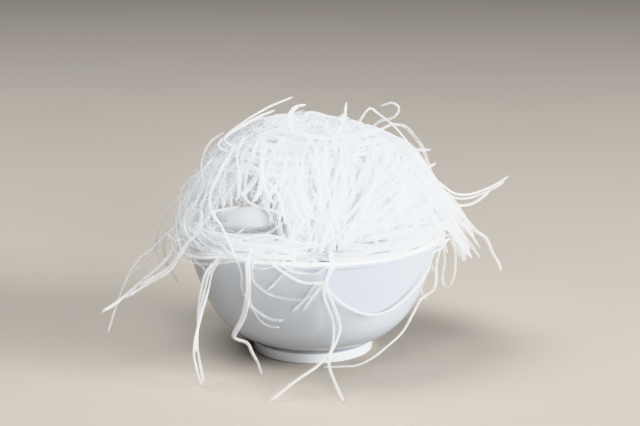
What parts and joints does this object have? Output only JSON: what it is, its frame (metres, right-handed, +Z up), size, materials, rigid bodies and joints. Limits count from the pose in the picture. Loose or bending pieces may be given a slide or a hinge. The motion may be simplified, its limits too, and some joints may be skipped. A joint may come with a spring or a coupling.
{
  "type": "bowl of dried rice vermicelli",
  "caption": "Loose heap of dried translucent rice vermicelli filling a small white porcelain rice bowl, with strands hanging over the rim to the table.",
  "frame": {"origin": "on the bowl's axis, at the surface that it stands on", "axes": "+Z up along the bowl's axis, -Y towards the front, +X to the right as seen from the front"},
  "size_m": [0.1878, 0.1612, 0.1208],
  "materials": {
    "bowl_glaze": "white glaze, glossy",
    "dried_rice": "dried rice starch, pale and glassy"
  },
  "bodies": {
    "root": {"bowl": "bowl_glaze", "vermicelli": "dried_rice"}
  },
  "joints": []
}
